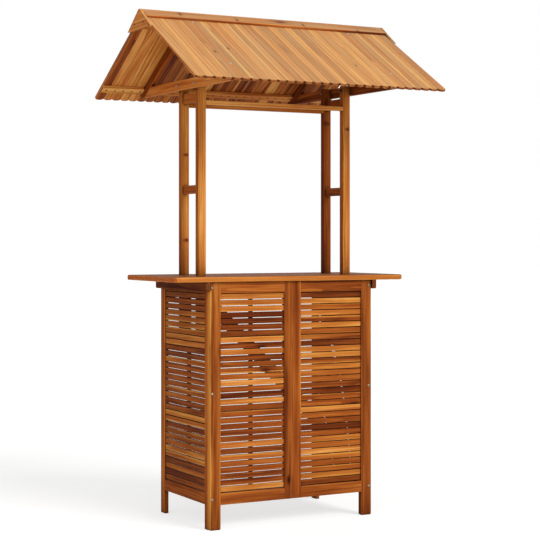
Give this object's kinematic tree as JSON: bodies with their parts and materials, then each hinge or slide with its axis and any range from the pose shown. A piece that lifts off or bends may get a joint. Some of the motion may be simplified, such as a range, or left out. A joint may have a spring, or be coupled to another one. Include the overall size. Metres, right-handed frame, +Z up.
{
  "type": "outdoor bar table with roof",
  "caption": "Tall wooden bar counter on a slatted open-backed cabinet, with a boarded gable roof carried over it by a pair of posts at each end.",
  "frame": {"origin": "on the ground under the middle of the table", "axes": "+Z up, +X to the right seen from the customer's side, -Y towards the customer, +Y towards the open back where the bartender stands"},
  "size_m": [1.211, 1.06, 2.17],
  "materials": {
    "frame_wood": "oiled",
    "slat_wood": "oiled",
    "counter_wood": "oiled",
    "roof_wood": "oiled",
    "hardware_steel": "zinc plated"
  },
  "bodies": {
    "root": {"left_front_leg": "frame_wood", "left_rear_leg": "frame_wood", "left_side_top_rail": "frame_wood", "left_side_bottom_rail": "frame_wood", "left_side_batten": "frame_wood", "right_front_leg": "frame_wood", "right_rear_leg": "frame_wood", "right_side_top_rail": "frame_wood", "right_side_bottom_rail": "frame_wood", "right_side_batten": "frame_wood", "left_outer_stile": "frame_wood", "left_centre_stile": "frame_wood", "left_panel_top_rail": "frame_wood", "left_panel_bottom_rail": "frame_wood", "left_panel_batten": "frame_wood", "right_outer_stile": "frame_wood", "right_centre_stile": "frame_wood", "right_panel_top_rail": "frame_wood", "right_panel_bottom_rail": "frame_wood", "right_panel_batten": "frame_wood", "shelf_bearers": "frame_wood", "shelf_battens": "frame_wood", "upper_shelf_boards": "frame_wood", "lower_shelf_boards": "frame_wood", "rear_top_rail": "frame_wood", "rear_brace": "frame_wood", "left_counter_cleat": "frame_wood", "right_counter_cleat": "frame_wood", "left_front_post": "frame_wood", "left_rear_post": "frame_wood", "right_front_post": "frame_wood", "right_rear_post": "frame_wood", "left_ladder_rails": "frame_wood", "right_ladder_rails": "frame_wood", "front_crossbar": "frame_wood", "rear_crossbar": "frame_wood", "left_tie_beam": "frame_wood", "right_tie_beam": "frame_wood", "left_front_rafter": "frame_wood", "left_rear_rafter": "frame_wood", "right_front_rafter": "frame_wood", "right_rear_rafter": "frame_wood", "left_side_slats": "slat_wood", "right_side_slats": "slat_wood", "left_panel_slats": "slat_wood", "right_panel_slats": "slat_wood", "counter_boards": "counter_wood", "front_roof_boards": "roof_wood", "rear_roof_boards": "roof_wood", "front_roof_battens": "roof_wood", "rear_roof_battens": "roof_wood", "front_ridge_board": "roof_wood", "rear_ridge_board": "roof_wood", "left_gable_plate": "roof_wood", "right_gable_plate": "roof_wood", "panel_bolts": "hardware_steel", "post_bolts": "hardware_steel", "roof_bolts": "hardware_steel", "roof_screws": "hardware_steel"}
  },
  "joints": []
}
